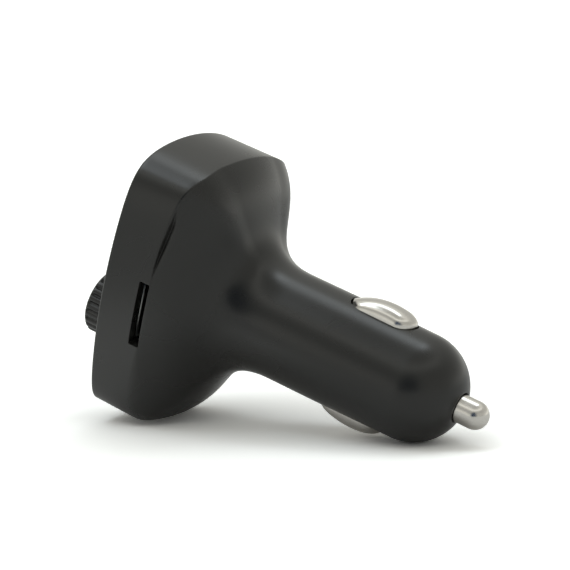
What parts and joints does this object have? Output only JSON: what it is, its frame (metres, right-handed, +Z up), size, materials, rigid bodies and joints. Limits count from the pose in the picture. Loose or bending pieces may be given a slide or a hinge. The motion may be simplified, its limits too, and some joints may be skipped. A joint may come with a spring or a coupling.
{
  "type": "car FM transmitter",
  "caption": "Plug-in car radio transmitter: a shield-shaped head with display, charging sockets, card slot and a push-and-turn knob on a round lighter-socket plug with sprung contacts.",
  "frame": {"origin": "centre of the object's footprint box on the surface that it lies on", "axes": "+Z up as the object lies on the lower edge of its head and on its nose; +X level, from the head towards the plug's tip; +Y across the head, away from the side that has the card slot"},
  "size_m": [0.0836, 0.039, 0.055],
  "materials": {
    "black_shell": "satin",
    "fascia_black": "satin",
    "display_lens": "polished",
    "display_body": "moulded",
    "knob_black": "satin, ribbed",
    "knob_face": "polished",
    "steel": "plain",
    "spring_steel": "drawn",
    "port_metal": "tinned",
    "white_plastic": "moulded",
    "encoder_metal": "pressed",
    "board_green": "lacquered",
    "black_nylon": "moulded",
    "mic_can": "drawn",
    "chip_black": "moulded",
    "ferrite": "sintered",
    "capacitor_sleeve": "shrunk sleeve",
    "fuse_green": "lacquered",
    "contact_nickel": "polished nickel",
    "seat_brass": "turned",
    "lead_red": "insulated wire",
    "leaf_bronze": "rolled strip"
  },
  "bodies": {
    "transmitter": {"housing": "black_shell", "front_fascia": "fascia_black", "display_lens": "display_lens", "display_module": "display_body", "encoder_body": "encoder_metal", "usb_shell_left": "port_metal", "usb_shell_right": "port_metal", "usb_tongue_left": "white_plastic", "usb_tongue_right": "white_plastic", "front_board": "board_green", "board_screws": "steel", "card_socket_shell": "port_metal", "card_socket_base": "black_nylon", "microphone": "mic_can", "radio_chip": "chip_black", "fm_chip": "chip_black", "crystal": "port_metal", "board_connector": "black_nylon", "power_board": "board_green", "inductor": "ferrite", "capacitor": "capacitor_sleeve", "regulator": "chip_black", "fuse": "fuse_green", "tip_spring": "spring_steel", "tip_seat": "seat_brass", "tip_lead": "lead_red", "contact_spring_upper": "leaf_bronze", "contact_spring_lower": "leaf_bronze"},
    "encoder_switch": {"switch_plunger": "white_plastic"},
    "control_knob": {"knob": "knob_black", "knob_cap": "knob_face", "encoder_shaft": "steel"},
    "centre_contact": {"tip_contact": "contact_nickel"},
    "upper_contact": {"side_contact_upper": "contact_nickel"},
    "lower_contact": {"side_contact_lower": "contact_nickel"}
  },
  "joints": [
    {"name": "knob_push", "type": "slide", "parent": "transmitter", "child": "encoder_switch", "axis": [0.9402, 0, -0.3406], "range_m": [0, 0.0005], "stiffness_N_per_m": 2500, "springref_m": -0.001},
    {"name": "knob_turn", "type": "hinge", "parent": "encoder_switch", "child": "control_knob", "pos_m": [-0.03583, 0, 0.02041], "axis": [0.9402, 0, -0.3406], "continuous": true},
    {"name": "tip_slide", "type": "slide", "parent": "transmitter", "child": "centre_contact", "axis": [-0.9402, 0, 0.3406], "range_m": [0, 0.003], "stiffness_N_per_m": 1200, "springref_m": -0.002, "deforming": ["tip_spring"]},
    {"name": "upper_contact_press", "type": "slide", "parent": "transmitter", "child": "upper_contact", "axis": [-0.3406, 0, -0.9402], "range_m": [0, 0.0024], "stiffness_N_per_m": 1500, "springref_m": -0.001, "deforming": ["contact_spring_upper"]},
    {"name": "lower_contact_press", "type": "slide", "parent": "transmitter", "child": "lower_contact", "axis": [0.3406, 0, 0.9402], "range_m": [0, 0.0024], "stiffness_N_per_m": 1500, "springref_m": -0.001, "deforming": ["contact_spring_lower"]}
  ]
}
